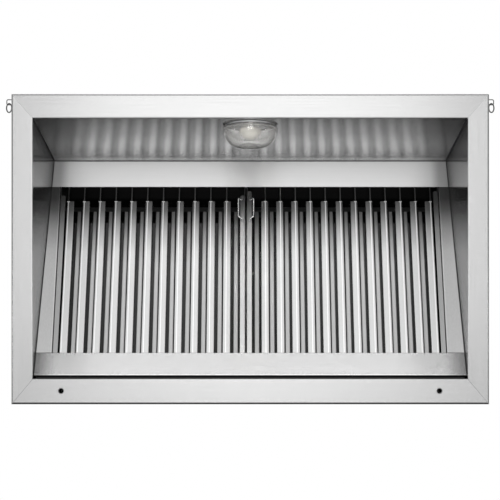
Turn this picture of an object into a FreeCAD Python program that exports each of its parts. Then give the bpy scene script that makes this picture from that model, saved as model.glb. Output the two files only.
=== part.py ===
import FreeCAD, Part
import math
import os

# Commercial canopy hood: a double-walled stainless box, open below, with a sloping bank of baffle filters,
# a grease trough, a round exhaust collar and one sealed light.
# Millimetres, +Z up, front at -Y, mouth at z = 0.

V = FreeCAD.Vector

# Shell
WIDTH = 1219.2
DEPTH = 792.0
HEIGHT = 609.6
SHEET = 1.2
BEND = 2.0
TOP_FLANGE = 25.0

# Rim round the mouth
RIM_FRONT = 60.0
RIM_REAR = 65.0
RIM_SIDE = 54.0
RIM_LIP = 18.0
RIM_UPTURN = 15.0
MITRE_REACH = 1.2

# Inner walls
FRONT_LEAN = 9.44
END_LEAN = 2.4
LINER_GAP = 0.3
END_LINER_LAP = 8.6

# Filter bank plane, from under the top panel at the front to the trough at the rear, and its two rails
BANK_CLEARANCE = 36.0
RAIL_SLOT = 8.6
RAIL_HEIGHT = 10.6
TOP_RAIL = 102.0
TOP_RAIL_FLANGE = 25.0
BOTTOM_RAIL = 78.0
RAIL_RETURN = 6.0
RAIL_END_GAP = 0.5

# Filters
FILTER_THICKNESS = 48.0
FILTER_FACE_GAP = 1.5
FILTER_SEAT_GAP = 0.3
FILTER_TOP_HOLD = 28.0
FILTER_BOTTOM_HOLD = 16.0
FILTER_LIFT = 22.0
LIFT_SPARE = 2.0
LEFT_FILTER_INNER = -14.5
RIGHT_FILTER_INNER = -8.0
LEFT_END_STRIP = 47.6
RIGHT_END_STRIP = 51.6
FRAME_SHEET = 1.0
FRAME_FLANGE = 12.0
FRAME_REAR_FLANGE = 26.0
FRAME_TOP_PLATE = 80.0
LEFT_STRIP_TOP = 31.5
RIGHT_STRIP_TOP = 15.0

# Baffles
LEFT_BAFFLES = 11
RIGHT_BAFFLES = 12
BAFFLE_SHEET = 1.0
BAFFLE_BEND = 1.5
RIDGE_BEND = 1.5
BAFFLE_FACE = 19.0
BAFFLE_DEPTH = 20.0
BAFFLE_OUTER_OFFSET = 26.5
BAFFLE_INNER_OFFSET = 47.0
BAFFLE_TOP = 54.0
BAFFLE_END_GAP = 0.3
REAR_WEB_SETBACK = 4.0
REAR_TIP_DEPTH = 14.0
REAR_TIP_INSET = 5.0
REAR_RIB_DEPTH = 22.0
REAR_RIB = 9.5
REAR_RIB_OFFSET = 4.0
TIE_BAR = 18.0
TIE_GAP = 0.3

# Filter supports behind the rails
GUIDE_FLANGE = 20.0
GUIDE_REAR_HOLD = 15.0
SHELF_REAR_LIP = 18.0
SHELF_FLANGE = 26.0
WEEP_LENGTH = 30.0
WEEP_WIDTH = 8.0
WEEP_PITCH = 90.0
WEEP_INSET = 6.0

# Strip behind the joint between the filters
DIVIDER_WIDTH = 40.0
DIVIDER_LAP = 10.0
DIVIDER_RETURN = 8.0

# Filler plates beside the filters
FILLER_GAP = 2.5
FILLER_LAP = 12.0
FILLER_RETURN = 40.0

# Grease trough and its drains
TROUGH_LAP = 18.0
TROUGH_LAP_GAP = 4.0
TROUGH_REAR_FLANGE = 8.0
TROUGH_END_INSET = 8.0
DRAIN_END_OFFSET = 126.4
DRAIN_RIM_OFFSET = 34.0
DRAIN_RADIUS = 7.8
DRAIN_WALL = 1.3
DRAIN_CLEARANCE = 0.2
DRAIN_LIFT = 0.3
DRAIN_STAND = 1.0

# Wire handles
HANDLE_WIRE = 4.0
HANDLE_LENGTH = 69.0
HANDLE_REACH = 14.0
HANDLE_TILT = 38.0
HANDLE_BEND = 5.0
HANDLE_STUB = 13.0
HANDLE_GAP = 0.5
CLIP_WALL = 1.2
CLIP_LENGTH = 6.0
CLIP_CLEARANCE = 0.08

# Exhaust collar
COLLAR_RADIUS = 152.4
COLLAR_HEIGHT = 80.0
COLLAR_FLANGE = 25.0
COLLAR_SHEET = 1.5
COLLAR_REAR_OFFSET = 296.0

# Hanger brackets
HANGER_END_OFFSET = 64.6
HANGER_EDGE_OFFSET = 66.0
HANGER_PLATE = 4.0
HANGER_WIDTH = 60.0
HANGER_BASE = 45.0
HANGER_RISE = 45.0
HANGER_LEG = 50.0
HANGER_BEND = 4.0
HANGER_HOLE = 7.0

# Light
LIGHT_HEIGHT = 88.0
GASKET = 2.0
LIGHT_FLANGE = 3.0
LIGHT_FLANGE_RADIUS = 64.0
LIGHT_CUP_RADIUS = 54.0
LIGHT_CUP_WALL = 3.4
LIGHT_CUP_DEPTH = 42.0
LIGHT_HOLE_CLEARANCE = 0.5
GLOBE_RADIUS = 71.0
GLOBE_LENGTH = 60.0
GLOBE_END_RADIUS = 54.0
GLOBE_END_ROUND = 16.0
GLOBE_BELLY = 1.5
GLOBE_WALL = 3.5
GLOBE_NECK_CLEARANCE = 0.6
GLOBE_NECK_DEPTH = 15.0
GLOBE_SEAT_GAP = 0.4
SOCKET_RADIUS = 19.0
SOCKET_LENGTH = 25.0
BULB_BASE_RADIUS = 13.0
BULB_BASE_CLEARANCE = 0.2
BULB_BASE_DEPTH = 20.0
BULB_RADIUS = 28.0
BULB_CENTRE = 14.0
BULB_WAIST = 2.0
CONDUIT_RADIUS = 10.5
CONDUIT_WALL = 1.5
CONDUIT_OFFSET = 24.0
CONDUIT_STAND = 12.0
CONDUIT_CLEARANCE = 0.2
BOX_SIDE = 102.0
BOX_HEIGHT = 54.0
BOX_WALL = 1.6
BOX_CORNER = 8.0
BOX_SETBACK = 12.0

# Lifting rings on the ends
STAPLE_WIRE = 2.4
STAPLE_REACH = 15.2
STAPLE_LEGS = 13.2
STAPLE_BEND = 3.5
STAPLE_HEIGHT = 50.0
STAPLE_FRONT_OFFSET = 25.7
RING_RADIUS = 11.3
RING_WIRE = 3.3
RING_CLEARANCE = 0.35
RING_STAND = 9.4
RING_TILT = 39.0

# Derived places of the mouth opening and the filter plane
HALF_WIDTH = WIDTH / 2
HALF_DEPTH = DEPTH / 2
OPENING_X = HALF_WIDTH - RIM_SIDE
OPENING_FRONT = -HALF_DEPTH + RIM_FRONT
OPENING_REAR = HALF_DEPTH - RIM_REAR
LINER_BOTTOM = RIM_UPTURN + LINER_GAP
LINER_TOP = HEIGHT - SHEET - LINER_GAP
FRONT_SLOPE = math.tan(math.radians(FRONT_LEAN))
END_SLOPE = math.tan(math.radians(END_LEAN))
RAIL_FOOT_Y = OPENING_REAR - RAIL_SLOT
SLOPE_TOP_Z = HEIGHT - BANK_CLEARANCE
SLOPE_TOP_Y = OPENING_FRONT + SLOPE_TOP_Z * FRONT_SLOPE
SLOPE_RUN = RAIL_FOOT_Y - SLOPE_TOP_Y
SLOPE_DROP = SLOPE_TOP_Z - RAIL_HEIGHT
SLOPE_LENGTH = math.hypot(SLOPE_RUN, SLOPE_DROP)
SLOPE_COS = SLOPE_RUN / SLOPE_LENGTH
SLOPE_SIN = SLOPE_DROP / SLOPE_LENGTH
FILTER_ANGLE = math.degrees(math.atan2(SLOPE_DROP, SLOPE_RUN))
BANK_TOP = TOP_RAIL
BANK_BOTTOM = SLOPE_LENGTH - BOTTOM_RAIL

# Slope coordinates: x across, y down the slope from its top edge, z square to it into the plenum
SLOPE = FreeCAD.Placement(V(0, SLOPE_TOP_Y, SLOPE_TOP_Z), FreeCAD.Rotation(V(1, 0, 0), -FILTER_ANGLE))

# Filter places in slope coordinates
FILTER_TOP = BANK_TOP - FILTER_TOP_HOLD
FILTER_BOTTOM = BANK_BOTTOM + FILTER_BOTTOM_HOLD
FILTER_FRONT = SHEET + FILTER_FACE_GAP
FILTER_BACK = FILTER_FRONT + FILTER_THICKNESS
LEFT_FILTER_WIDTH = OPENING_X - LEFT_END_STRIP + LEFT_FILTER_INNER
RIGHT_FILTER_WIDTH = OPENING_X - RIGHT_END_STRIP - RIGHT_FILTER_INNER
REAR_WEB = FILTER_BACK - REAR_WEB_SETBACK
RIDGE_TOP = BANK_TOP + BAFFLE_TOP
RIDGE_BOTTOM = FILTER_BOTTOM - FRAME_FLANGE - BAFFLE_END_GAP

# Places that keep their distance from the casing's edges
DRAIN_X = HALF_WIDTH - DRAIN_END_OFFSET
COLLAR_Y = HALF_DEPTH - COLLAR_REAR_OFFSET
HANGER_X = HALF_WIDTH - HANGER_END_OFFSET
HANGER_Y = HALF_DEPTH - HANGER_EDGE_OFFSET

# Light coordinates: z along the light's axis, out of the front inner wall
LIGHT_Y = OPENING_FRONT + LIGHT_HEIGHT * FRONT_SLOPE
LIGHT = FreeCAD.Placement(V(0, LIGHT_Y, LIGHT_HEIGHT), FreeCAD.Rotation(V(1, 0, 0), -90 - FRONT_LEAN))


# Turning a section's own x, y and extrusion into the part's axes
TO_X = FreeCAD.Placement(V(0, 0, 0), FreeCAD.Rotation(V(1, 1, 1), 120))
TO_Y = FreeCAD.Placement(V(0, 0, 0), FreeCAD.Rotation(V(1, 0, 0), 90))


def left_of(direction):
    """Unit vector to the left of a direction in the section plane."""
    return V(-direction.y, direction.x, 0)


def sheet_side(points, offset, thickness, bend):
    """Edges of one face of a bent sheet, at an offset to the left of its path."""
    edges = []
    first = (points[1] - points[0]).normalize()
    here = points[0] + left_of(first) * offset
    for before, corner, after in zip(points, points[1:], points[2:]):
        come = (corner - before).normalize()
        leave = (after - corner).normalize()
        hand = 1 if come.cross(leave).z > 0 else -1
        path_radius = bend + thickness if hand > 0 else bend
        radius = path_radius - hand * offset
        setback = path_radius * math.tan(come.getAngle(leave) / 2)
        centre = corner - come * setback + left_of(come) * (hand * path_radius)
        start = centre - left_of(come) * (hand * radius)
        end = centre - left_of(leave) * (hand * radius)
        middle = centre + (start + end - centre * 2).normalize() * radius
        edges.append(Part.LineSegment(here, start).toShape())
        edges.append(Part.Arc(start, middle, end).toShape())
        here = end
    last = (points[-1] - points[-2]).normalize()
    edges.append(Part.LineSegment(here, points[-1] + left_of(last) * offset).toShape())
    return edges


def sheet_section(path, thickness=SHEET, bend=BEND):
    """Face of a bent sheet's section: the path is one face, and the metal lies on its left."""
    points = [V(a, b, 0) for a, b in path]
    near = sheet_side(points, 0, thickness, bend)
    far = sheet_side(points, thickness, thickness, bend)
    caps = []
    starts = near[0].firstVertex(), far[0].firstVertex()
    ends = near[-1].lastVertex(), far[-1].lastVertex()
    for one, other in (starts, ends):
        caps.append(Part.LineSegment(one.Point, other.Point).toShape())
    return Part.Face(Part.Wire(Part.sortEdges(near + far + caps)[0]))


def along_x(section, low, high):
    """Section in (y, z) extruded along X."""
    solid = section.extrude(V(0, 0, high - low))
    solid.Placement = FreeCAD.Placement(V(low, 0, 0), FreeCAD.Rotation()).multiply(TO_X)
    return solid


def along_y(section, low, high):
    """Section in (x, z) extruded along Y."""
    solid = section.extrude(V(0, 0, low - high))
    solid.Placement = FreeCAD.Placement(V(0, low, 0), FreeCAD.Rotation()).multiply(TO_Y)
    return solid


def block(low, high):
    """Box between two corners."""
    size = V(*high) - V(*low)
    return Part.makeBox(size.x, size.y, size.z, V(*low))


def prism(outline, direction):
    """Solid from a flat polygon of 3-D points, extruded along a direction."""
    points = [V(*point) for point in outline]
    return Part.Face(Part.makePolygon(points + points[:1])).extrude(direction)


def placed(shape, placement):
    """Copy of a shape moved from its own coordinates into the part's frame."""
    moved = shape.copy()
    moved.Placement = placement.multiply(moved.Placement)
    return moved


def mirrored(shape):
    """The same shape on the other end of the hood."""
    return shape.mirror(V(0, 0, 0), V(1, 0, 0))


def quarter_rise(radius):
    """How far a quarter circle rises over its chord."""
    return radius * (1 - math.sqrt(0.5))


def turned(points, rises):
    """Solid turned about z from (radius, height) points. A rise makes the run after its point an arc."""
    edges = []
    corners = [V(radius, 0, height) for radius, height in points]
    for index, start in enumerate(corners):
        end = corners[(index + 1) % len(corners)]
        if index in rises:
            outward = V(end.z - start.z, 0, start.x - end.x).normalize()
            middle = (start + end) / 2 + outward * rises[index]
            edges.append(Part.Arc(start, middle, end).toShape())
        else:
            edges.append(Part.LineSegment(start, end).toShape())
    return Part.Face(Part.Wire(edges)).revolve(V(0, 0, 0), V(0, 0, 1), 360)


def bent_wire(points, diameter, bend):
    """Round wire along straight runs joined by tangent arcs."""
    corners = [V(*point) for point in points]
    edges = []
    here = corners[0]
    for before, corner, after in zip(corners, corners[1:], corners[2:]):
        come = (corner - before).normalize()
        leave = (after - corner).normalize()
        setback = bend * math.tan(come.getAngle(leave) / 2)
        start = corner - come * setback
        end = corner + leave * setback
        inward = (leave - come).normalize()
        middle = corner + inward * (math.hypot(bend, setback) - bend)
        edges.append(Part.LineSegment(here, start).toShape())
        edges.append(Part.Arc(start, middle, end).toShape())
        here = end
    edges.append(Part.LineSegment(here, corners[-1]).toShape())
    heading = (corners[1] - corners[0]).normalize()
    ring = Part.Wire([Part.makeCircle(diameter / 2, corners[0], heading)])
    return Part.Wire(edges).makePipeShell([ring], True, True)


def end_wall_x(height, gap=0.0):
    """Half width between the end walls at a height, less a gap."""
    return OPENING_X - height * END_SLOPE - gap


def slope_point(down, back):
    """(Y, Z) of a point given in slope coordinates."""
    point = SLOPE.multVec(V(0, down, back))
    return point.y, point.z


def between_end_walls(shape, gap):
    """Shape trimmed to fit between the two leaning end walls."""
    low = end_wall_x(0, gap)
    high = end_wall_x(HEIGHT, gap)
    corners = ((-low, 0), (low, 0), (high, HEIGHT), (-high, HEIGHT))
    return shape.common(prism([(x, -HALF_DEPTH, z) for x, z in corners], V(0, DEPTH, 0)))


# Outer casing

def outer_panels():
    """Four flat outer walls: the end walls fit between the front and rear ones."""
    inside = HALF_DEPTH - SHEET
    end = block((-HALF_WIDTH, -inside, 0), (SHEET - HALF_WIDTH, inside, HEIGHT))
    front = block((-HALF_WIDTH, -HALF_DEPTH, 0), (HALF_WIDTH, -inside, HEIGHT))
    rear = block((-HALF_WIDTH, inside, 0), (HALF_WIDTH, HALF_DEPTH, HEIGHT))
    return {"outer_front_panel": front, "outer_rear_panel": rear,
            "outer_left_panel": end, "outer_right_panel": mirrored(end)}


def top_panel():
    """Shallow pan that closes the top, with the exhaust opening and the conduit hole."""
    x, y = HALF_WIDTH - SHEET, HALF_DEPTH - SHEET
    foot = HEIGHT - TOP_FLANGE
    pan = block((-x, -y, foot), (x, y, HEIGHT))
    pan = pan.cut(block((SHEET - x, SHEET - y, foot), (x - SHEET, y - SHEET, HEIGHT - SHEET)))
    exhaust = Part.makeCylinder(COLLAR_RADIUS - COLLAR_SHEET, TOP_FLANGE, V(0, COLLAR_Y, foot))
    wiring = Part.makeCylinder(CONDUIT_RADIUS + CONDUIT_CLEARANCE, TOP_FLANGE, V(0, conduit_y(), foot))
    return pan.cut(exhaust).cut(wiring)


def exhaust_collar():
    """Round spigot with a welding flange, which the duct slides over."""
    inner = COLLAR_RADIUS - COLLAR_SHEET
    path = [(COLLAR_RADIUS + COLLAR_FLANGE, 0), (inner, 0), (inner, COLLAR_HEIGHT)]
    section = sheet_section([(-radius, height) for radius, height in path], COLLAR_SHEET, BEND)
    section.Placement = TO_Y
    collar = section.revolve(V(0, 0, 0), V(0, 0, 1), 360)
    collar.translate(V(0, COLLAR_Y, HEIGHT))
    return collar


def hanger_brackets():
    """Four raised brackets on the top, each with a hole for a threaded hanging rod."""
    path = [(-HANGER_LEG / 2 - HANGER_BASE, 0), (-HANGER_LEG / 2, 0),
            (-HANGER_LEG / 2, HANGER_RISE), (HANGER_LEG / 2, HANGER_RISE)]
    plate = along_y(sheet_section(path, HANGER_PLATE, HANGER_BEND), -HANGER_WIDTH / 2, HANGER_WIDTH / 2)
    plate = plate.cut(Part.makeCylinder(HANGER_HOLE, HANGER_RISE, V(0, 0, HANGER_RISE / 2 + HANGER_PLATE)))
    brackets = {}
    for row, y in (("front", -HANGER_Y), ("rear", HANGER_Y)):
        right = plate.copy()
        right.translate(V(HANGER_X, y, HEIGHT))
        brackets["hanger_bracket_%s_right" % row] = right
        brackets["hanger_bracket_%s_left" % row] = mirrored(right)
    return brackets


# Rim and inner walls

def mitred(channel, corner, other, inner, inner_other):
    """Rim channel trimmed at both ends along the lines from the outer to the opening's corners."""
    ends = []
    for outside, opening in ((other, inner_other), (corner, inner)):
        ends.append(tuple(a + (b - a) * MITRE_REACH for a, b in zip(outside, opening)))
    outline = [(x, y, 0) for x, y in (corner, other, *ends)]
    return channel.common(prism(outline, V(0, 0, RIM_LIP)))


def rims():
    """Four mitred channels that frame the mouth. The rear one has the drain holes."""
    x, y = HALF_WIDTH - SHEET, HALF_DEPTH - SHEET
    corners = [(-x, -y), (x, -y), (x, y), (-x, y)]
    inners = [(-OPENING_X, OPENING_FRONT), (OPENING_X, OPENING_FRONT),
              (OPENING_X, OPENING_REAR), (-OPENING_X, OPENING_REAR)]
    sides = (("front_rim", HALF_DEPTH, RIM_FRONT, FRONT_SLOPE),
             ("right_rim", HALF_WIDTH, RIM_SIDE, END_SLOPE),
             ("rear_rim", HALF_DEPTH, RIM_REAR, 0.0),
             ("left_rim", HALF_WIDTH, RIM_SIDE, END_SLOPE))
    made = {}
    for index, (name, reach, width, lean) in enumerate(sides):
        outside = SHEET - reach
        inside = width - reach
        path = [(outside, RIM_LIP), (outside, 0), (inside, 0), (inside + RIM_UPTURN * lean, RIM_UPTURN)]
        channel = along_x(sheet_section(path), -HALF_WIDTH, HALF_WIDTH)
        channel.rotate(V(0, 0, 0), V(0, 0, 1), 90 * index)
        following = (index + 1) % len(sides)
        made[name] = mitred(channel, corners[index], corners[following], inners[index], inners[following])
    for x in (-DRAIN_X, DRAIN_X):
        place = V(x, HALF_DEPTH - DRAIN_RIM_OFFSET, 0)
        hole = Part.makeCylinder(DRAIN_RADIUS + DRAIN_CLEARANCE, RIM_UPTURN, place)
        made["rear_rim"] = made["rear_rim"].cut(hole)
    return made


def front_liner():
    """Leaning front inner wall, with the hole for the light."""
    outline = []
    for height, hand in ((LINER_BOTTOM, -1), (LINER_BOTTOM, 1), (LINER_TOP, 1), (LINER_TOP, -1)):
        outline.append((hand * end_wall_x(height), OPENING_FRONT + height * FRONT_SLOPE, height))
    lean = math.radians(FRONT_LEAN)
    wall = prism(outline, V(0, -math.cos(lean), math.sin(lean)) * SHEET)
    radius = LIGHT_CUP_RADIUS + LIGHT_HOLE_CLEARANCE
    return wall.cut(placed(Part.makeCylinder(radius, LIGHT_CUP_DEPTH, V(0, 0, -LIGHT_CUP_DEPTH / 2)), LIGHT))


def end_liners():
    """Leaning end inner walls, which carry the ends of the rails and run on behind the filters."""
    back_y, back_z = slope_point(0, FILTER_BACK + FILTER_FACE_GAP + SHEET + END_LINER_LAP)
    reach = back_z + back_y * SLOPE_SIN / SLOPE_COS
    rear_height = reach - OPENING_REAR * SLOPE_SIN / SLOPE_COS
    top_rear = (reach - LINER_TOP) * SLOPE_COS / SLOPE_SIN
    places = [(OPENING_FRONT + LINER_BOTTOM * FRONT_SLOPE, LINER_BOTTOM), (OPENING_REAR, LINER_BOTTOM),
              (OPENING_REAR, rear_height), (top_rear, LINER_TOP),
              (OPENING_FRONT + LINER_TOP * FRONT_SLOPE, LINER_TOP)]
    lean = math.radians(END_LEAN)
    right = prism([(end_wall_x(z), y, z) for y, z in places], V(math.cos(lean), 0, math.sin(lean)) * SHEET)
    return {"right_liner": right, "left_liner": mirrored(right)}


# Rails, supports and fillers in the filter plane

def slope_bar(path):
    """Bent sheet bar across the hood, drawn in slope coordinates and trimmed to the end walls."""
    bar = along_x(sheet_section(path), -HALF_WIDTH, HALF_WIDTH)
    return between_end_walls(placed(bar, SLOPE), RAIL_END_GAP)


def top_filter_rail():
    """Rail over the tops of the filters. Its flange lies on the front inner wall."""
    up_y = math.sin(math.radians(FRONT_LEAN))
    up_z = math.cos(math.radians(FRONT_LEAN))
    down = (up_y * SLOPE_COS - up_z * SLOPE_SIN) * TOP_RAIL_FLANGE
    back = (up_y * SLOPE_SIN + up_z * SLOPE_COS) * TOP_RAIL_FLANGE
    return slope_bar([(down, back), (0, 0), (TOP_RAIL, 0)])


def bottom_filter_rail():
    """Rail in front of the filters' feet, with a stiffening return."""
    return slope_bar([(BANK_BOTTOM, 0), (SLOPE_LENGTH, 0), (SLOPE_LENGTH, RAIL_RETURN)])


def top_filter_guide():
    """Channel behind the top rail, deep enough for the filters to be lifted clear of the shelf."""
    stop = FILTER_TOP - FILTER_LIFT - LIFT_SPARE
    rear = FILTER_BACK + FILTER_FACE_GAP
    hold = FILTER_TOP + GUIDE_REAR_HOLD
    return slope_bar([(stop - GUIDE_FLANGE, SHEET), (stop, SHEET), (stop, rear), (hold, rear)])


def filter_shelf():
    """Ledge that the filters stand on, with weep slots along its low side."""
    seat = FILTER_BOTTOM + FILTER_SEAT_GAP
    rear = FILTER_BACK + FILTER_FACE_GAP
    path = [(seat - SHELF_REAR_LIP, rear), (seat, rear), (seat, SHEET), (seat + SHELF_FLANGE, SHEET)]
    shelf = slope_bar(path)
    count = int(2 * OPENING_X // WEEP_PITCH) - 1
    near = SHEET + BEND + WEEP_INSET
    reach = WEEP_LENGTH / 2
    for index in range(count):
        x = (index - (count - 1) / 2) * WEEP_PITCH
        slot = block((x - reach, seat - SHEET, near), (x + reach, seat + 2 * SHEET, near + WEEP_WIDTH))
        shelf = shelf.cut(placed(slot, SLOPE))
    return shelf


def filter_divider():
    """Channel that closes the joint between the filters from behind, carried by the guide and the shelf."""
    middle = (LEFT_FILTER_INNER + RIGHT_FILTER_INNER) / 2
    left, right = middle - DIVIDER_WIDTH / 2, middle + DIVIDER_WIDTH / 2
    front = FILTER_BACK + FILTER_FACE_GAP + SHEET
    path = [(left, front + DIVIDER_RETURN), (left, front), (right, front), (right, front + DIVIDER_RETURN)]
    low = FILTER_TOP + GUIDE_REAR_HOLD - DIVIDER_LAP
    high = FILTER_BOTTOM + FILTER_SEAT_GAP - SHELF_REAR_LIP + DIVIDER_LAP
    return placed(along_y(sheet_section(path), low, high), SLOPE)


def fillers():
    """Blank plates that close the strips between the filters and the end walls."""
    made = {}
    outer_edges = {"left_filler": LEFT_FILTER_WIDTH - LEFT_FILTER_INNER,
                   "right_filler": RIGHT_FILTER_WIDTH + RIGHT_FILTER_INNER}
    for name, filter_edge in outer_edges.items():
        edge = filter_edge + FILLER_GAP
        path = [(edge, SHEET + FILLER_RETURN), (edge, SHEET), (HALF_WIDTH, SHEET)]
        plate = along_y(sheet_section(path), BANK_TOP - FILLER_LAP, BANK_BOTTOM + FILLER_LAP)
        plate = between_end_walls(placed(plate, SLOPE), RAIL_END_GAP)
        made[name] = mirrored(plate) if name == "left_filler" else plate
    return made


# Grease trough and drains

def trough_floor():
    """Height of the underside of the trough."""
    return slope_point(trough_foot(), SHEET)[1]


def trough_foot():
    """How far down the slope the trough's front flange reaches."""
    return FILTER_BOTTOM + FILTER_SEAT_GAP + SHELF_FLANGE + TROUGH_LAP_GAP + TROUGH_LAP


def grease_trough():
    """Trough welded between the bottom rail and the rear wall, with closed ends and two drain holes."""
    lap = slope_point(trough_foot() - TROUGH_LAP, SHEET)
    foot = slope_point(trough_foot(), SHEET)
    wall = HALF_DEPTH - SHEET
    half = OPENING_X - TROUGH_END_INSET
    path = [lap, foot, (wall, foot[1]), (wall, foot[1] + TROUGH_REAR_FLANGE)]
    trough = along_x(sheet_section(path), -half, half)
    inside = SHEET + BEND
    low, high = foot[1] + SHEET / 2, foot[1] + TROUGH_REAR_FLANGE
    back = wall - SHEET / 2
    end = [(foot[0] + inside, low), (wall - inside, low), (back, foot[1] + inside), (back, high),
           (lap[0] + SHEET, lap[1])]
    for x in (-half, half - SHEET):
        trough = trough.fuse(prism([(x, y, z) for y, z in end], V(SHEET, 0, 0)))
    for x in (-DRAIN_X, DRAIN_X):
        place = V(x, HALF_DEPTH - DRAIN_RIM_OFFSET, foot[1] - SHEET)
        trough = trough.cut(Part.makeCylinder(DRAIN_RADIUS, TROUGH_LAP, place))
    return trough.removeSplitter()


def drain_spouts():
    """Short tubes that carry grease from the trough down to the holes in the rear rim."""
    top = trough_floor() + SHEET + DRAIN_STAND
    made = {}
    for name, x in (("left_drain_spout", -DRAIN_X), ("right_drain_spout", DRAIN_X)):
        place = V(x, HALF_DEPTH - DRAIN_RIM_OFFSET, DRAIN_LIFT)
        tube = Part.makeCylinder(DRAIN_RADIUS, top - DRAIN_LIFT, place)
        made[name] = tube.cut(Part.makeCylinder(DRAIN_RADIUS - DRAIN_WALL, top - DRAIN_LIFT, place))
    return made


# Baffle filters, drawn for the right-hand side with the inner edge at x = 0 and mirrored for the left

def filter_frame(width, strip_top):
    """Folded frame: edge walls, front flanges with round-topped side strips, a plate at the top rear."""
    top, bottom = FILTER_TOP, FILTER_BOTTOM
    wall, flange, side = FRAME_SHEET, FRAME_FLANGE, FRAME_REAR_FLANGE
    front, back = FILTER_FRONT + wall, FILTER_BACK - wall
    frame = block((0, top, FILTER_FRONT), (width, bottom, FILTER_BACK))
    frame = frame.cut(block((wall, top + wall, front), (width - wall, bottom - wall, back)))
    frame = frame.cut(block((flange, top + flange, FILTER_FRONT), (width - flange, bottom - flange, front)))
    plate_end = top + FRAME_TOP_PLATE
    frame = frame.cut(block((side, plate_end, back), (width - side, bottom - flange, FILTER_BACK)))
    radius = flange / 2
    frame = frame.cut(block((wall, top + flange, FILTER_FRONT), (width - wall, strip_top + radius, front)))
    for x in (radius, width - radius):
        frame = frame.fuse(Part.makeCylinder(radius, wall, V(x, strip_top + radius, FILTER_FRONT)))
    return frame.removeSplitter()


def baffle_pitch(width, count):
    """Spacing of the front baffles."""
    return (width - BAFFLE_OUTER_OFFSET - BAFFLE_INNER_OFFSET) / (count - 1)


def baffle_places(width, count):
    """Centres of the front baffles, measured from the filter's inner edge."""
    return [BAFFLE_INNER_OFFSET + index * baffle_pitch(width, count) for index in range(count)]


def front_baffle(x):
    """Round-cornered channel, open to the rear, with a closed top end."""
    half = BAFFLE_FACE / 2
    back = FILTER_FRONT + BAFFLE_DEPTH
    path = [(x - half, back), (x - half, FILTER_FRONT), (x + half, FILTER_FRONT), (x + half, back)]
    channel = along_y(sheet_section(path, BAFFLE_SHEET, RIDGE_BEND), RIDGE_TOP, RIDGE_BOTTOM)
    inset = RIDGE_BEND + BAFFLE_SHEET
    cap = block((x - half + inset, RIDGE_TOP, FILTER_FRONT + BAFFLE_SHEET / 2),
                (x + half - inset, RIDGE_TOP + BAFFLE_SHEET, back))
    return channel.fuse(cap)


def rear_baffle(x, pitch):
    """Channel behind a gap, its edges inside two front baffles, with an off-centre rib in its web."""
    right = x - BAFFLE_FACE / 2 + REAR_TIP_INSET
    left = x - pitch + BAFFLE_FACE / 2 - REAR_TIP_INSET
    tip = FILTER_FRONT + REAR_TIP_DEPTH
    crest = FILTER_FRONT + REAR_RIB_DEPTH
    rib = left + REAR_TIP_INSET + REAR_RIB_OFFSET
    rib_end = rib + REAR_RIB
    path = [(right, tip), (right, REAR_WEB), (rib_end, REAR_WEB), (rib_end, crest),
            (rib, crest), (rib, REAR_WEB), (left, REAR_WEB), (left, tip)]
    low = RIDGE_TOP + TIE_BAR + 2 * TIE_GAP
    high = RIDGE_BOTTOM - TIE_BAR - 2 * TIE_GAP
    return along_y(sheet_section(path, BAFFLE_SHEET, BAFFLE_BEND), low, high)


def tie_bars(width):
    """Two cross channels that join the baffles' ends to the side walls of the frame."""
    front = FILTER_FRONT + BAFFLE_DEPTH
    low = FRAME_SHEET
    bars = []
    for start in (RIDGE_TOP + BAFFLE_SHEET + TIE_GAP, RIDGE_BOTTOM - TIE_BAR):
        end = start + TIE_BAR - BAFFLE_SHEET
        path = [(start, REAR_WEB), (start, front), (end, front), (end, REAR_WEB)]
        bars.append(along_x(sheet_section(path, BAFFLE_SHEET, BAFFLE_BEND), low, width - low))
    return Part.makeCompound(bars)


def handle_axis_depth():
    """Depth of the handle's pivot line, just in front of the frame's front flange."""
    return FILTER_FRONT - HANDLE_WIRE / 2 - HANDLE_GAP


def wire_handle():
    """Bail of round wire, turned about the line of its two stubs to the tilt it rests at."""
    tilt = math.radians(HANDLE_TILT)
    x = FRAME_FLANGE / 2
    z = handle_axis_depth()
    bar_x = x + HANDLE_REACH * math.cos(tilt)
    bar_z = z - HANDLE_REACH * math.sin(tilt)
    low = RIDGE_TOP
    high = RIDGE_TOP + HANDLE_LENGTH
    points = [(x, low - HANDLE_STUB, z), (x, low, z), (bar_x, low, bar_z), (bar_x, high, bar_z), (x, high, z),
              (x, high + HANDLE_STUB, z)]
    return bent_wire(points, HANDLE_WIRE, HANDLE_BEND)


def handle_clips():
    """Two saddle clips on the frame flange that hold the handle's stubs."""
    x = FRAME_FLANGE / 2
    z = handle_axis_depth()
    bore = HANDLE_WIRE / 2 + CLIP_CLEARANCE
    outside = bore + CLIP_WALL
    straight = (HANDLE_STUB + HANDLE_BEND) / 2
    clips = []
    for middle in (RIDGE_TOP - straight, RIDGE_TOP + HANDLE_LENGTH + straight):
        low, high = middle - CLIP_LENGTH / 2, middle + CLIP_LENGTH / 2
        start = V(x, low, z)
        clip = Part.makeCylinder(outside, CLIP_LENGTH, start, V(0, 1, 0))
        clip = clip.fuse(block((x - outside, low, z), (x + outside, high, FILTER_FRONT)))
        clip = clip.cut(Part.makeCylinder(bore, CLIP_LENGTH, start, V(0, 1, 0)))
        clips.append(clip.common(block((x - outside, low, z - outside), (x + outside, high, FILTER_FRONT))))
    return Part.makeCompound(clips)


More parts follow.
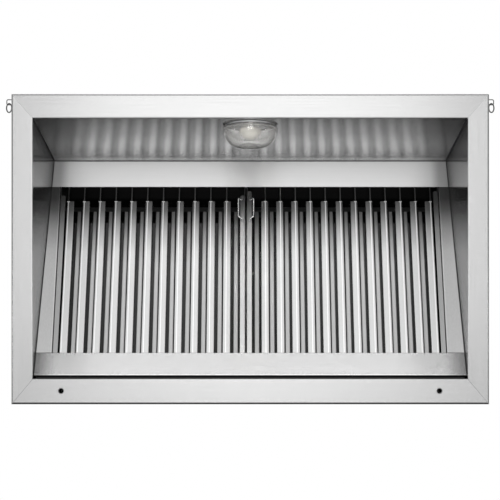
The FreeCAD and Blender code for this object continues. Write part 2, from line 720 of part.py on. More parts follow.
def filters():
    """Both filters, each of frame, tie bars, front and rear baffles, handle and clips."""
    made = {}
    sides = (("left", LEFT_FILTER_INNER, LEFT_FILTER_WIDTH, LEFT_BAFFLES, LEFT_STRIP_TOP),
             ("right", RIGHT_FILTER_INNER, RIGHT_FILTER_WIDTH, RIGHT_BAFFLES, RIGHT_STRIP_TOP))
    for side, inner, width, count, strip in sides:
        pitch = baffle_pitch(width, count)
        places = baffle_places(width, count)
        pieces = {"filter_frame": filter_frame(width, BANK_TOP + strip), "filter_tie_bars": tie_bars(width),
                  "front_baffles": Part.makeCompound([front_baffle(x) for x in places]),
                  "rear_baffles": Part.makeCompound([rear_baffle(x, pitch) for x in places]),
                  "filter_handle": wire_handle(), "handle_clips": handle_clips()}
        for name, shape in pieces.items():
            if side == "left":
                shape = mirrored(shape)
            shape = placed(shape, FreeCAD.Placement(V(inner, 0, 0), FreeCAD.Rotation()))
            made["%s_%s" % (side, name)] = placed(shape, SLOPE)
    return made


# Light

def conduit_y():
    """Where the light's conduit rises between the walls."""
    return LIGHT.multVec(V(0, 0, -CONDUIT_OFFSET)).y


def light_housing():
    """Cast cup behind the wall with a flange in front of it."""
    cup = LIGHT_CUP_RADIUS
    bore = cup - LIGHT_CUP_WALL
    face = GASKET + LIGHT_FLANGE
    floor = LIGHT_CUP_WALL - LIGHT_CUP_DEPTH
    corner = LIGHT_CUP_WALL
    points = [(0, -LIGHT_CUP_DEPTH), (cup - corner, -LIGHT_CUP_DEPTH), (cup, corner - LIGHT_CUP_DEPTH),
              (cup, GASKET), (LIGHT_FLANGE_RADIUS, GASKET), (LIGHT_FLANGE_RADIUS, face), (bore, face),
              (bore, floor), (0, floor)]
    return placed(turned(points, {1: quarter_rise(corner)}), LIGHT)


def light_gasket():
    """Flat seal between the flange and the wall."""
    inner = LIGHT_CUP_RADIUS
    points = [(inner, 0), (LIGHT_FLANGE_RADIUS, 0), (LIGHT_FLANGE_RADIUS, GASKET), (inner, GASKET)]
    return placed(turned(points, {}), LIGHT)


def light_globe():
    """Clear glass globe: a neck in the cup, a full shoulder, a tapering body and a flat end."""
    neck = LIGHT_CUP_RADIUS - LIGHT_CUP_WALL - GLOBE_NECK_CLEARANCE
    seat = GASKET + LIGHT_FLANGE + GLOBE_SEAT_GAP
    wall = GLOBE_WALL
    rounding = 2 * wall
    shoulder = GLOBE_RADIUS - rounding
    widest = seat + rounding
    end = GLOBE_LENGTH
    corner = end - GLOBE_END_ROUND
    flat = GLOBE_END_RADIUS - GLOBE_END_ROUND
    points = [(neck - wall, seat - GLOBE_NECK_DEPTH), (neck, seat - GLOBE_NECK_DEPTH), (neck, seat),
              (shoulder, seat), (GLOBE_RADIUS, widest), (GLOBE_END_RADIUS, corner), (flat, end), (0, end),
              (0, end - wall), (flat, end - wall), (GLOBE_END_RADIUS - wall, corner),
              (GLOBE_RADIUS - wall, widest), (shoulder, seat + wall), (neck - wall, seat + wall)]
    rises = {3: quarter_rise(rounding), 4: GLOBE_BELLY, 5: quarter_rise(GLOBE_END_ROUND),
             9: -quarter_rise(GLOBE_END_ROUND - wall), 10: -GLOBE_BELLY, 11: -quarter_rise(rounding - wall)}
    return placed(turned(points, rises), LIGHT)


def lamp_socket():
    """Ceramic lamp holder on the floor of the cup."""
    floor = LIGHT_CUP_WALL - LIGHT_CUP_DEPTH
    top = floor + SOCKET_LENGTH
    bore = BULB_BASE_RADIUS + BULB_BASE_CLEARANCE
    seat = top - BULB_BASE_DEPTH - BULB_BASE_CLEARANCE
    points = [(0, floor), (SOCKET_RADIUS, floor), (SOCKET_RADIUS, top), (bore, top), (bore, seat), (0, seat)]
    return placed(turned(points, {}), LIGHT)


def light_bulb():
    """Screw-base bulb: base, flared neck and round crown."""
    base_top = LIGHT_CUP_WALL - LIGHT_CUP_DEPTH + SOCKET_LENGTH
    foot = base_top - BULB_BASE_DEPTH
    points = [(0, foot), (BULB_BASE_RADIUS, foot), (BULB_BASE_RADIUS, base_top), (BULB_RADIUS, BULB_CENTRE),
              (0, BULB_CENTRE + BULB_RADIUS)]
    return placed(turned(points, {2: -BULB_WAIST, 3: quarter_rise(BULB_RADIUS)}), LIGHT)


def light_conduit():
    """Tube for the wires from the cup up to the box on the top, coped to the cup."""
    top = HEIGHT + CONDUIT_STAND
    start = V(0, conduit_y(), LIGHT_HEIGHT)
    tube = Part.makeCylinder(CONDUIT_RADIUS, top - LIGHT_HEIGHT, start)
    tube = tube.cut(Part.makeCylinder(CONDUIT_RADIUS - CONDUIT_WALL, top - LIGHT_HEIGHT, start))
    cup = Part.makeCylinder(LIGHT_CUP_RADIUS, 2 * LIGHT_CUP_DEPTH, V(0, 0, -2 * LIGHT_CUP_DEPTH))
    return tube.cut(placed(cup, LIGHT))


def rounded_block(low, high, corner):
    """Box with rounded upright edges."""
    box = block(low, high)
    height = box.BoundBox.ZLength
    return box.makeFillet(corner, [edge for edge in box.Edges if edge.BoundBox.ZLength > height / 2])


def junction_box():
    """Open square box on the top, which the conduit enters from below, and its lid."""
    half = BOX_SIDE / 2
    y = conduit_y() + BOX_SETBACK
    top = HEIGHT + BOX_HEIGHT
    box = rounded_block((-half, y - half, HEIGHT), (half, y + half, top), BOX_CORNER)
    inside = half - BOX_WALL
    low = (-inside, y - inside, HEIGHT + BOX_WALL)
    box = box.cut(rounded_block(low, (inside, y + inside, top), BOX_CORNER - BOX_WALL))
    entry = V(0, conduit_y(), HEIGHT - BOX_HEIGHT / 2)
    box = box.cut(Part.makeCylinder(CONDUIT_RADIUS + CONDUIT_CLEARANCE, BOX_HEIGHT, entry))
    lid = rounded_block((-half, y - half, top), (half, y + half, top + BOX_WALL), BOX_CORNER)
    return {"junction_box": box, "junction_box_cover": lid}


# Rings on the ends

def lifting_rings():
    """A wire staple on each end wall near the front, and the ring that swings on its rear leg."""
    leg = -HALF_DEPTH + STAPLE_FRONT_OFFSET
    far = HALF_WIDTH + STAPLE_REACH
    corners = ((HALF_WIDTH, leg - STAPLE_LEGS), (far, leg - STAPLE_LEGS), (far, leg), (HALF_WIDTH, leg))
    staple = bent_wire([(x, y, STAPLE_HEIGHT) for x, y in corners], STAPLE_WIRE, STAPLE_BEND)
    ring = Part.makeTorus(RING_RADIUS, RING_WIRE / 2)
    ring.rotate(V(0, 0, 0), V(0, 1, 0), RING_TILT - 90)
    hang = RING_RADIUS - RING_WIRE / 2 - STAPLE_WIRE / 2 - RING_CLEARANCE
    ring.translate(V(HALF_WIDTH + RING_STAND, leg + hang, STAPLE_HEIGHT))
    return {"right_staple": staple, "left_staple": mirrored(staple),
            "right_ring": ring, "left_ring": mirrored(ring)}


def all_parts():
    """Every piece of the hood by name."""
    parts = {}
    for group in (outer_panels(), rims(), end_liners(), fillers(), drain_spouts(), hanger_brackets(),
                  filters(), junction_box(), lifting_rings()):
        parts.update(group)
    for make in (top_panel, exhaust_collar, front_liner, top_filter_rail, bottom_filter_rail,
                 top_filter_guide, filter_shelf, filter_divider, grease_trough, light_housing, light_gasket,
                 light_globe, lamp_socket, light_bulb, light_conduit):
        parts[make.__name__] = make()
    return parts


os.makedirs("parts", exist_ok=True)
for node, shape in all_parts().items():
    shape.exportStep("parts/%s.step" % node)
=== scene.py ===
import math
import bpy
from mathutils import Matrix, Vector


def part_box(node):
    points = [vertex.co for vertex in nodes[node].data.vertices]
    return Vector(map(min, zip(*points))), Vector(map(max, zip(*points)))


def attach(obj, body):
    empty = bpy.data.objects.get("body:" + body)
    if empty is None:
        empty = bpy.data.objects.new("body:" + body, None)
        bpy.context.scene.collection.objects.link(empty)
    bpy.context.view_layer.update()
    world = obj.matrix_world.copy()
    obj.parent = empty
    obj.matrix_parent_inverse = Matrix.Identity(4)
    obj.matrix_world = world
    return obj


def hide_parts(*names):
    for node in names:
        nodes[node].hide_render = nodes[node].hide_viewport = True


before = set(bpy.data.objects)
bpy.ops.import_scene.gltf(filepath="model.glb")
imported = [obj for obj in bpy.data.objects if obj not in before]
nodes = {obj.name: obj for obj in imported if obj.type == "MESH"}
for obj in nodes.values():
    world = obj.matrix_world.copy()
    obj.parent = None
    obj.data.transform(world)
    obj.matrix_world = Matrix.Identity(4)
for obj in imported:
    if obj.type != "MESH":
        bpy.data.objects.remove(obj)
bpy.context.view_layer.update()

scene = bpy.context.scene
scene.view_settings.view_transform = "Standard"

# Directions on the hood, whose filters and rails lie on a slope of 45 degrees
SLOPE_SHARE = 0.7071
ACROSS = (1.0, 0.0, 0.0)
FRONT_TO_BACK = (0.0, 1.0, 0.0)
UP = (0.0, 0.0, 1.0)
DOWN = (0.0, 0.0, -1.0)
DOWN_SLOPE = (0.0, SLOPE_SHARE, -SLOPE_SHARE)
INTO_SLOPE = (0.0, SLOPE_SHARE, SLOPE_SHARE)
OUT_OF_SLOPE = (0.0, -SLOPE_SHARE, -SLOPE_SHARE)
SIDES = (-1, 1)

# Sizes of marks on the surfaces, in cycles a metre: down the grain and over it where there are two
BRUSH_STREAKS = (5.0, 420.0)
FINE_SCRATCHES = (1500.0, 5000.0)
HANDLING_MARKS = 7.0
WIRE_MARKS = 160.0
ZINC_CRYSTALS = 90.0
GLASS_WAVES = 30.0
FLOOR_MOTTLE = 3.0

# Shares by which roughness varies over brushed steel, wire, and cast surfaces
STEEL_SPREAD = 0.03
WIRE_SPREAD = 0.3
CAST_SPREAD = 0.15

# Height at which the bow of the front liner's finish ends, in metres
BOW_HEIGHT = 0.57


def grey(value):
    """Colour without a tint."""
    return (value, value, value)


def streaks(grain, along, over):
    """Noise scale with long streaks down the grain."""
    return tuple(along * abs(g) + over * (1 - abs(g)) for g in grain)


class Shader:
    """One material and short ways to add and join its nodes."""

    def __init__(self, name):
        self.material = bpy.data.materials.new(name)
        self.material.use_nodes = True
        self.tree = self.material.node_tree
        self.bsdf = self.tree.nodes["Principled BSDF"]

    def add(self, kind, **values):
        """New node, with values for its settings and its inputs."""
        node = self.tree.nodes.new(kind)
        for key, value in values.items():
            if hasattr(node, key):
                setattr(node, key, value)
            else:
                node.inputs[key.replace("_", " ")].default_value = value
        return node

    def join(self, output, target):
        """Link from one node's output to another node's input."""
        self.tree.links.new(output, target)

    def set(self, **values):
        """Plain values on the surface's own inputs."""
        for key, value in values.items():
            self.bsdf.inputs[key.replace("_", " ")].default_value = value

    def feed(self, **outputs):
        """Node outputs on the surface's own inputs."""
        for key, output in outputs.items():
            self.join(output, self.bsdf.inputs[key.replace("_", " ")])

    def noise(self, stretch, detail=3.0):
        """Noise over the object's own space, stretched per axis in cycles a metre."""
        place = self.add("ShaderNodeTexCoord")
        scale = self.add("ShaderNodeMapping", Scale=stretch)
        noise = self.add("ShaderNodeTexNoise", Scale=1.0, Detail=detail, Roughness=0.6)
        self.join(place.outputs["Object"], scale.inputs["Vector"])
        self.join(scale.outputs["Vector"], noise.inputs["Vector"])
        return noise.outputs["Fac"]

    def speckle(self, cycles, detail=3.0):
        """Noise of one size in all directions."""
        return self.noise((cycles, cycles, cycles), detail)

    def ranged(self, value, low, high, start=0.3, end=0.7):
        """Value that runs from low to high while the given one runs from start to end."""
        span = self.add("ShaderNodeMapRange", From_Min=start, From_Max=end, To_Min=low, To_Max=high)
        self.join(value, span.inputs["Value"])
        return span.outputs["Result"]

    def varied(self, value, middle, spread):
        """Number that varies about its middle by a share of it, with a value."""
        return self.ranged(value, middle * (1 - spread), middle * (1 + spread))

    def tinted(self, value, dark, light):
        """Colour that runs from dark to light with a value."""
        mix = self.add("ShaderNodeMix", data_type="RGBA")
        mix.inputs["A"].default_value = (*dark, 1.0)
        mix.inputs["B"].default_value = (*light, 1.0)
        self.join(value, mix.inputs["Factor"])
        return mix.outputs["Result"]

    def distance(self, along, start):
        """How far a point lies along a direction past a starting distance, in metres."""
        place = self.add("ShaderNodeTexCoord")
        dot = self.add("ShaderNodeVectorMath", operation="DOT_PRODUCT")
        dot.inputs[1].default_value = along
        past = self.add("ShaderNodeMath", operation="SUBTRACT")
        past.inputs[1].default_value = start
        self.join(place.outputs["Object"], dot.inputs[0])
        self.join(dot.outputs["Value"], past.inputs[0])
        return past.outputs["Value"]

    def ramped(self, distance, stops):
        """Level that follows stops of (distance, level)."""
        reach = stops[-1][0]
        ramp = self.add("ShaderNodeValToRGB")
        spots = ramp.color_ramp.elements
        for place, _ in stops[1:-1]:
            spots.new(place / reach)
        for spot, (_, level) in zip(spots, stops):
            spot.color = (level, level, level, 1.0)
        self.join(self.ranged(distance, 0.0, 1.0, 0.0, reach), ramp.inputs["Fac"])
        return ramp.outputs["Color"]

    def with_painted_shade(self, colour, distance, stops):
        """Colour darkened by painted shade, whose share of the colour follows the stops."""
        mix = self.add("ShaderNodeMix", data_type="RGBA", blend_type="MULTIPLY")
        mix.inputs["Factor"].default_value = 1.0
        self.join(colour, mix.inputs["A"])
        self.join(self.ramped(distance, stops), mix.inputs["B"])
        return mix.outputs["Result"]

    def maths(self, operation, first, second):
        """Sum, difference or product of two values."""
        node = self.add("ShaderNodeMath", operation=operation)
        self.join(first, node.inputs[0])
        self.join(second, node.inputs[1])
        return node.outputs["Value"]

    def moved(self, vector, direction, amount):
        """Vector moved by an amount in a direction."""
        stretch = self.add("ShaderNodeVectorMath", operation="SCALE")
        stretch.inputs[0].default_value = direction
        self.join(amount, stretch.inputs["Scale"])
        both = self.add("ShaderNodeVectorMath", operation="ADD")
        self.join(vector, both.inputs[0])
        self.join(stretch.outputs["Vector"], both.inputs[1])
        return both.outputs["Vector"]

    def bowed(self, normal, bow):
        """Normal turned outwards as on a sheet that bows across its width, most at its lower edge."""
        share = self.ranged(self.distance(UP, 0.0), bow, 0.0, 0.0, BOW_HEIGHT)
        turn = self.maths("MULTIPLY", self.distance(ACROSS, 0.0), share)
        return self.moved(normal, ACROSS, turn)

    def scratched(self, grain, tilt_to, sway, lean, bow):
        """Surface that scratches tilt to and fro, less a lean that follows its height, and bowed."""
        scratches = self.noise(streaks(grain, *FINE_SCRATCHES), detail=1.0)
        tilt = self.ranged(scratches, -sway, sway, 0.2, 0.8)
        if lean:
            tilt = self.maths("SUBTRACT", tilt, self.ramped(self.distance(UP, 0.0), lean))
        surface = self.add("ShaderNodeNewGeometry")
        normal = self.moved(surface.outputs["Normal"], tilt_to, tilt)
        if bow:
            normal = self.bowed(normal, bow)
        even = self.add("ShaderNodeVectorMath", operation="NORMALIZE")
        self.join(normal, even.inputs[0])
        self.feed(Normal=even.outputs["Vector"])

    def bump(self, height, strength, distance):
        """Surface raised by a height."""
        bump = self.add("ShaderNodeBump", Strength=strength, Distance=distance)
        self.join(height, bump.inputs["Height"])
        self.feed(Normal=bump.outputs["Normal"])


def steel(name, tone, rough, grain, tilt_to, spread=0.03, metallic=1.0, painted_shades=(), sway=0.0, lean=(),
          bow=0.0):
    """Brushed sheet: streaks down its grain, soft handling marks, painted shade, and scratches that tilt
    it.
    """
    shader = Shader(name)
    fine = shader.noise(streaks(grain, *BRUSH_STREAKS))
    marks = shader.speckle(HANDLING_MARKS, detail=4.0)
    colour = shader.tinted(shader.ranged(fine, 0.0, 1.0), grey(tone - spread), grey(tone + spread / 2))
    for along, start, stops in painted_shades:
        colour = shader.with_painted_shade(colour, shader.distance(along, start), stops)
    shader.feed(Base_Color=colour, Roughness=shader.varied(marks, rough, STEEL_SPREAD))
    shader.set(Metallic=metallic)
    shader.scratched(grain, tilt_to, sway, lean, bow)
    return shader.material


def wire(name, tone, rough, spread=0.08):
    """Drawn wire with faint marks."""
    shader = Shader(name)
    marks = shader.speckle(WIRE_MARKS)
    shader.feed(Base_Color=shader.tinted(marks, grey(tone - spread), grey(tone)),
                Roughness=shader.varied(marks, rough, WIRE_SPREAD))
    shader.set(Metallic=1.0)
    return shader.material


def galvanised(name, dark, light, rough):
    """Zinc with soft crystal patches."""
    shader = Shader(name)
    place = shader.add("ShaderNodeTexCoord")
    cells = shader.add("ShaderNodeTexVoronoi", Scale=ZINC_CRYSTALS)
    shader.join(place.outputs["Object"], cells.inputs["Vector"])
    patch = shader.ranged(cells.outputs["Color"], 0.0, 1.0, 0.0, 1.0)
    shader.feed(Base_Color=shader.tinted(patch, dark, light),
                Roughness=shader.ranged(patch, *rough, 0.0, 1.0))
    shader.set(Metallic=1.0)
    return shader.material


def cast(name, dark, light, rough, cycles, depth, metallic=0.0):
    """Fine-grained cast or moulded surface."""
    shader = Shader(name)
    speck = shader.speckle(cycles, detail=4.0)
    shader.feed(Base_Color=shader.tinted(speck, dark, light),
                Roughness=shader.varied(speck, rough, CAST_SPREAD))
    shader.set(Metallic=metallic)
    shader.bump(speck, strength=0.3, distance=depth)
    return shader.material


def clear_glass(name, dark, light):
    """Clear pressed glass with faint waves."""
    shader = Shader(name)
    wave = shader.speckle(GLASS_WAVES, detail=2.0)
    shader.set(Transmission_Weight=0.955, IOR=1.5, Roughness=0.02)
    shader.feed(Base_Color=shader.tinted(wave, dark, light))
    shader.bump(wave, strength=0.15, distance=0.002)
    return shader.material


# Painted shade over the metal: a direction, where the painted shade starts along it, and the share of
# the colour that stays past there
FILTER_FACE = 0.2355

# Painted shade inside the filters, by depth from their face, with the rear baffles' crests left light,
# and painted shade on the returns of the rails
inside_painted_shade = (INTO_SLOPE, FILTER_FACE, [(0.0, 1.0), (0.006, 1.0), (0.011, 0.1), (0.06, 0.03)])
rear_baffle_painted_shade = (INTO_SLOPE, FILTER_FACE, [(0.0, 0.03), (0.021, 0.05), (0.023, 1.0), (0.027, 1.0),
                                       (0.03, 0.06), (0.06, 0.06)])
return_painted_shade = (INTO_SLOPE, FILTER_FACE, [(0.0, 1.0), (0.0022, 1.0), (0.0026, 0.03), (0.01, 0.03)])

# Painted shadow towards the top of the filters, on their faces, ridges and crests
top_painted_shadow = (UP, 0.0, [(0.0, 1.0), (0.33, 1.0), (0.39, 0.68), (0.44, 0.22), (0.47, 0.09), (0.6, 0.05)])
ridge_painted_shadow = (UP, 0.0, [(0.0, 1.0), (0.33, 1.0), (0.39, 0.58), (0.44, 0.14), (0.47, 0.06), (0.6, 0.05)])
crest_painted_shadow = (UP, 0.0, [(0.0, 1.0), (0.385, 1.0), (0.44, 0.6), (0.465, 0.52), (0.6, 0.52)])

# Painted shade on the ends and corners of the inner walls, where the front wall narrows towards its top,
# and over the front wall by height, darker near its foot and its top
END_LEAN = 0.0546
corner_painted_shade = (FRONT_TO_BACK, -0.34, [(0.0, 0.02), (0.08, 0.1), (0.16, 0.32), (0.2, 0.5), (0.26, 0.5),
                                      (0.3, 0.55), (0.4, 0.6), (0.5, 0.7), (0.6, 0.9), (0.7, 1.0)])
height_painted_shade = (UP, 0.0, [(0.0, 0.26), (0.08, 0.38), (0.2, 0.54), (0.35, 0.88), (0.46, 1.0),
                         (0.52, 0.6), (0.548, 0.56), (0.556, 0.42), (0.6, 0.38)])
side_stops = [(0.0, 0.3), (0.063, 0.32), (0.093, 0.44), (0.115, 0.6), (0.138, 0.92), (0.157, 1.0),
              (1.2, 1.0)]
side_painted_shades = [((turn, 0.0, END_LEAN), -0.56, side_stops) for turn in (1.0, -1.0)]

# Painted shade towards the ends of the rails, the rear rim and the filters, which leaves their middles
# brighter
top_rail_painted_shade = (ACROSS, -0.534, [(0.0, 0.46), (0.022, 0.5), (0.046, 0.92), (0.06, 1.0), (1.0, 1.0),
                                  (1.02, 0.94), (1.044, 0.52), (1.068, 0.46)])
bottom_rail_painted_shade = (ACROSS, -0.555, [(0.0, 0.34), (0.012, 0.38), (0.03, 0.64), (0.05, 0.92),
                                     (0.065, 1.0), (1.045, 1.0), (1.06, 0.92), (1.08, 0.64),
                                     (1.098, 0.42), (1.11, 0.38)])
rear_rim_painted_shade = (ACROSS, -0.61, [(0.0, 0.82), (0.2, 0.9), (0.45, 0.97), (0.61, 1.0), (0.77, 0.97),
                                 (1.02, 0.9), (1.22, 0.84)])
filter_end_painted_shade = (ACROSS, -0.51, [(0.0, 0.6), (0.06, 0.65), (0.2, 1.0), (0.84, 1.0), (0.97, 0.65),
                            (1.02, 0.6)])

# Painted shadow lines along the filters' feet, the bottom rail's lip and the rear rim's hem
filter_foot_painted_shadow = (DOWN_SLOPE, 0.12, [(0.0, 1.0), (0.0185, 1.0), (0.0195, 0.35), (0.04, 0.35)])
lip_painted_shade = (DOWN_SLOPE, 0.2, [(0.0, 1.0), (0.0188, 1.0), (0.0196, 0.04), (0.03, 0.04)])
hem_painted_shadow = (FRONT_TO_BACK, 0.38, [(0.0, 1.0), (0.0108, 1.0), (0.0118, 0.22), (0.02, 0.16)])


def casing_foot_painted_shadow(share):
    """Painted contact shadow along the foot of the casing."""
    return (UP, 0.0, [(0.0, share), (0.0014, share), (0.0016, 1.0), (0.01, 1.0)])


# Casing and rim
CASING = {"tone": 0.52, "rough": 0.25, "tilt_to": UP, "sway": 0.3}
RIM = {"rough": 0.24, "spread": 0.02, "sway": 0.2}
panel_front = steel("panel_front", **CASING, grain=ACROSS)
panel_rear = steel("panel_rear", **CASING, grain=ACROSS, painted_shades=[casing_foot_painted_shadow(0.05)])
panel_ends = steel("panel_ends", **CASING, grain=FRONT_TO_BACK, painted_shades=[casing_foot_painted_shadow(0.55)])
top_sheet = steel("top_sheet", tone=0.52, rough=0.3, grain=ACROSS, tilt_to=FRONT_TO_BACK, sway=0.3)
rim_across = steel("rim_across", **RIM, tone=0.48, grain=ACROSS, tilt_to=FRONT_TO_BACK)
# The rear rim's lighter tone is a painted highlight: all the rims are one steel
rim_rear = steel("rim_rear", **RIM, tone=0.575, grain=ACROSS, tilt_to=FRONT_TO_BACK,
                 painted_shades=[hem_painted_shadow, rear_rim_painted_shade])
rim_ends = steel("rim_ends", **RIM, tone=0.48, grain=FRONT_TO_BACK, tilt_to=ACROSS)

# Inner walls and rails, the front wall with a lean of its finish by height
LINER = {"tilt_to": UP, "spread": 0.02}
RAIL = {"rough": 0.16, "grain": ACROSS, "tilt_to": DOWN_SLOPE, "spread": 0.02}
lean_stops = [(0.0, 0.45), (0.25, 0.8), (0.45, 1.15), (0.53, 1.6), (0.572, 2.1), (0.6, 2.1)]
liner_front = steel("liner_front", **LINER, tone=0.7, rough=0.11, grain=ACROSS, sway=0.7,
                    lean=lean_stops, bow=0.13, painted_shades=[height_painted_shade, *side_painted_shades])
liner_ends = steel("liner_ends", **LINER, tone=0.62, rough=0.1, grain=FRONT_TO_BACK, sway=0.3,
                   painted_shades=[corner_painted_shade])
top_rail = steel("top_rail", **RAIL, tone=0.87, sway=0.5, metallic=0.4,
                 painted_shades=[return_painted_shade, top_rail_painted_shade])
bottom_rail = steel("bottom_rail", **RAIL, tone=0.93, sway=0.9,
                    painted_shades=[return_painted_shade, bottom_rail_painted_shade, lip_painted_shade])

# Filters and the strips beside them
SLOPED = {"grain": DOWN_SLOPE, "tilt_to": ACROSS}
FILTER = {**SLOPED, "sway": 0.05, "metallic": 0.3}
filler = steel("filler", **SLOPED, tone=0.48, rough=0.14, sway=0.03, metallic=0.3,
               painted_shades=[top_painted_shadow, filter_foot_painted_shadow])
filter_face = steel("filter_face", **FILTER, tone=0.62, rough=0.1, painted_shades=[ridge_painted_shadow, filter_foot_painted_shadow])
filter_body = steel("filter_body", **FILTER, tone=0.6, rough=0.12,
                    painted_shades=[inside_painted_shade, top_painted_shadow, filter_end_painted_shade, filter_foot_painted_shadow])
filter_rear = steel("filter_rear", **FILTER, tone=0.46, rough=0.12, painted_shades=[rear_baffle_painted_shade, top_painted_shadow])
# The crest is light and half matte: a painted highlight along each ridge, darker towards the top
crest_painted_highlight = steel("crest_painted_highlight", **SLOPED, tone=0.79, rough=0.14, metallic=0.2, painted_shades=[crest_painted_shadow, filter_foot_painted_shadow])
# The stem is near black: painted shade of the ridge above its head
stem = steel("stem", **SLOPED, tone=0.05, rough=0.3, spread=0.01)
tie = steel("tie", tone=0.012, rough=0.4, grain=ACROSS, tilt_to=DOWN_SLOPE, spread=0.004)

# Joints of the rim and of the mouth
MITRED = {"rough": 0.4, "grain": ACROSS, "tilt_to": FRONT_TO_BACK, "spread": 0.01}
mitre = steel("mitre", **MITRED, tone=0.22)
faint_mitre = steel("faint_mitre", **MITRED, tone=0.4)
# The seam is near black: sealant that paints the shade of the gaps in the mouth's corners
seam = cast("seam", grey(0.006), grey(0.012), rough=0.7, cycles=400.0, depth=0.0002)

# Parts behind the mouth and on top
# The trough is near black: painted shade in the slot behind the bottom rail
trough = steel("trough", tone=0.03, rough=0.4, grain=ACROSS, tilt_to=FRONT_TO_BACK, spread=0.01)
inner = steel("inner", tone=0.3, rough=0.4, grain=ACROSS, tilt_to=UP, sway=0.3)
collar = steel("collar", tone=0.56, rough=0.34, grain=FRONT_TO_BACK, tilt_to=UP)
bracket = steel("bracket", tone=0.5, rough=0.38, grain=FRONT_TO_BACK, tilt_to=UP)
zinc = galvanised("zinc", dark=(0.42, 0.44, 0.46), light=(0.6, 0.62, 0.64), rough=(0.34, 0.5))

# Wire
bright_wire = wire("bright_wire", tone=0.8, rough=0.16)
ring_wire = wire("ring_wire", tone=0.13, rough=0.3)

# Light
aluminium = cast("aluminium", (0.5, 0.5, 0.51), (0.66, 0.66, 0.67), rough=0.42, cycles=600.0,
                 depth=0.0004, metallic=1.0)
rubber = cast("rubber", grey(0.03), grey(0.06), rough=0.7, cycles=500.0, depth=0.0003)
ceramic = cast("ceramic", (0.8, 0.78, 0.73), (0.88, 0.86, 0.82), rough=0.3, cycles=300.0, depth=0.0001)
bulb = cast("bulb", (0.29, 0.275, 0.24), (0.35, 0.335, 0.3), rough=0.45, cycles=400.0, depth=0.0001)
glass = clear_glass("glass", dark=(0.97, 0.965, 0.95), light=(1.0, 0.995, 0.98))

# Finish of each solid
finishes = {
    panel_front: ["outer_front_panel"],
    panel_rear: ["outer_rear_panel"],
    panel_ends: ["outer_left_panel", "outer_right_panel"],
    top_sheet: ["top_panel"],
    rim_across: ["front_rim"],
    rim_rear: ["rear_rim"],
    rim_ends: ["left_rim", "right_rim"],
    liner_front: ["front_liner"],
    liner_ends: ["left_liner", "right_liner"],
    top_rail: ["top_filter_rail"],
    bottom_rail: ["bottom_filter_rail"],
    filler: ["left_filler", "right_filler"],
    filter_face: ["left_front_baffles", "right_front_baffles"],
    filter_body: ["left_filter_frame", "right_filter_frame", "left_handle_clips",
                  "right_handle_clips"],
    filter_rear: ["left_rear_baffles", "right_rear_baffles"],
    tie: ["left_filter_tie_bars", "right_filter_tie_bars"],
    inner: ["top_filter_guide", "filter_shelf", "filter_divider", "left_drain_spout",
            "right_drain_spout"],
    trough: ["grease_trough"],
    collar: ["exhaust_collar"],
    bracket: ["hanger_bracket_front_left", "hanger_bracket_front_right", "hanger_bracket_rear_left",
              "hanger_bracket_rear_right"],
    bright_wire: ["left_filter_handle", "right_filter_handle"],
    ring_wire: ["left_ring", "right_ring", "left_staple", "right_staple"],
    zinc: ["light_conduit", "junction_box", "junction_box_cover"],
    aluminium: ["light_housing"],
    rubber: ["light_gasket"],
    ceramic: ["lamp_socket"],
    bulb: ["light_bulb"],
    glass: ["light_globe"],
}
for material, names in finishes.items():
    for name in names:
        nodes[name].data.materials.clear()
        nodes[name].data.materials.append(material)


def piece(name, points, faces, material, body):
    """Small mesh that rides on a body."""
    mesh = bpy.data.meshes.new(name)
    mesh.from_pydata([tuple(point) for point in points], [], faces)
    mesh.materials.append(material)
    thing = bpy.data.objects.new(name, mesh)
    scene.collection.objects.link(thing)
    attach(thing, body)
    return thing


# Pressed glass globe: its section as (radius, height) in millimetres, out round the bowl and back inside
NECK_AND_SHOULDER = [(50.0, -9.6), (50.0, 5.4), (64.0, 5.4), (69.0, 7.2), (71.0, 12.0), (70.8, 18.0),
                     (69.6, 25.0), (67.2, 32.0)]
FLUTED_BOWL = [(63.6, 38.5), (59.2, 44.5), (54.2, 49.8), (48.5, 54.2), (41.5, 57.6), (32.0, 59.4)]
BASE = [(15.0, 60.0), (0.5, 60.0), (0.5, 55.0), (15.0, 55.0)]
INSIDE = [(31.0, 54.4), (39.0, 52.8), (45.2, 49.8), (50.4, 45.8), (55.0, 41.0), (58.9, 35.6),
          (62.2, 29.8), (64.4, 23.6), (65.6, 17.6), (65.8, 13.0), (64.0, 11.0), (61.5, 10.4),
          (46.5, 10.4), (46.5, -9.6)]
FLUTES = 48
FLUTE_DEPTH = 0.2
TURNS = FLUTES * 6
SHARP_EDGE = math.radians(50)
MILLIMETRES_A_METRE = 1000

# The light leans with the front wall that carries it
LEAN_OUT = 0.9862
LEAN_DOWN = 0.1657
GASKET_TO_GLOBE = 0.001
light_axis = Vector((0.0, LEAN_OUT, -LEAN_DOWN))
light_up = Vector((0.0, LEAN_DOWN, LEAN_OUT))
gasket_low, gasket_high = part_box("light_gasket")
light_place = (Vector(gasket_low) + Vector(gasket_high)) / 2 - light_axis * GASKET_TO_GLOBE

